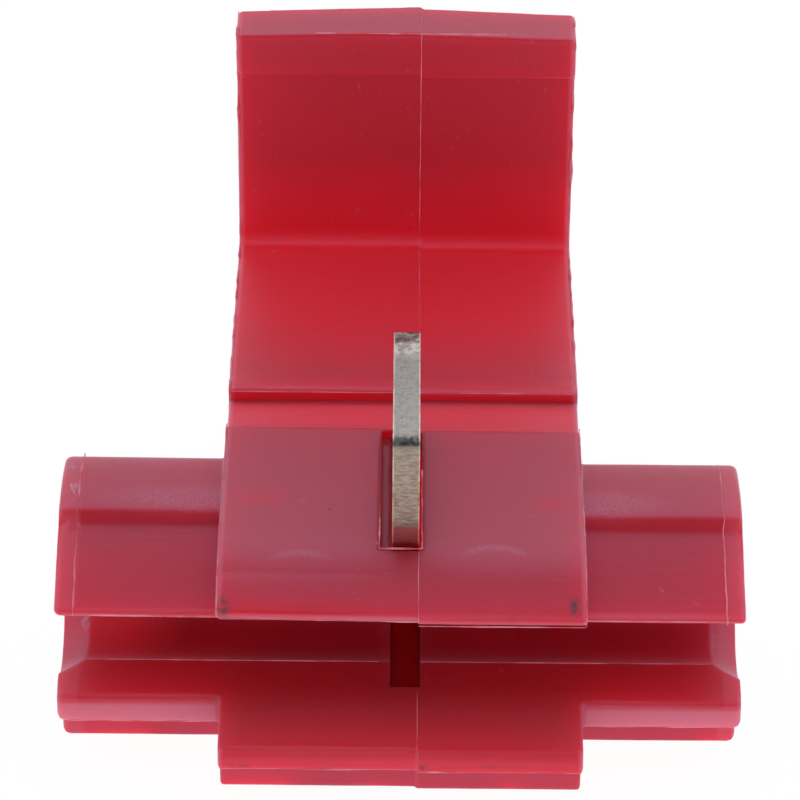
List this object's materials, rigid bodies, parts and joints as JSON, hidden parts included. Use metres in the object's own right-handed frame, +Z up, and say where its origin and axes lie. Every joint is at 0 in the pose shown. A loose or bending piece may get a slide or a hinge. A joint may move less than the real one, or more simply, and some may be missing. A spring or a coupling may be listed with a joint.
{
  "type": "t-tap wire connector",
  "caption": "Snap-over insulation-displacement wire tap: moulded housing with two wire channels, a slotted contact plate standing in its block, and a cover folded open on a living hinge.",
  "frame": {"origin": "on the surface the part stands on, under the centre of its overall box with the cover open", "axes": "+X along both wires, towards the open end of the tap bore; +Y from the mouth back to the open cover; +Z up, the way the contact stands out of the block"},
  "size_m": [0.0206, 0.0222, 0.0156],
  "materials": {
    "red_plastic": "moulded, satin, slightly translucent",
    "tinned_contact": "stamped brass, tin plated, matt"
  },
  "bodies": {
    "housing": {"housing": "red_plastic", "hinge_strap": "red_plastic"},
    "cover": {"cover": "red_plastic"},
    "contact": {"contact_plate": "tinned_contact"}
  },
  "joints": [
    {"name": "cover_hinge", "type": "hinge", "parent": "housing", "child": "cover", "pos_m": [0, -0.00085, 0.00795], "axis": [1, 0, 0], "range_deg": [0, 181.5]},
    {"name": "contact_press", "type": "slide", "parent": "housing", "child": "contact", "axis": [0, 0, -1], "range_m": [0, 0.0037]}
  ],
  "couplings": [
    {"joint": "cover_hinge", "follows": "contact_press", "rad_per_m": 856.15}
  ]
}
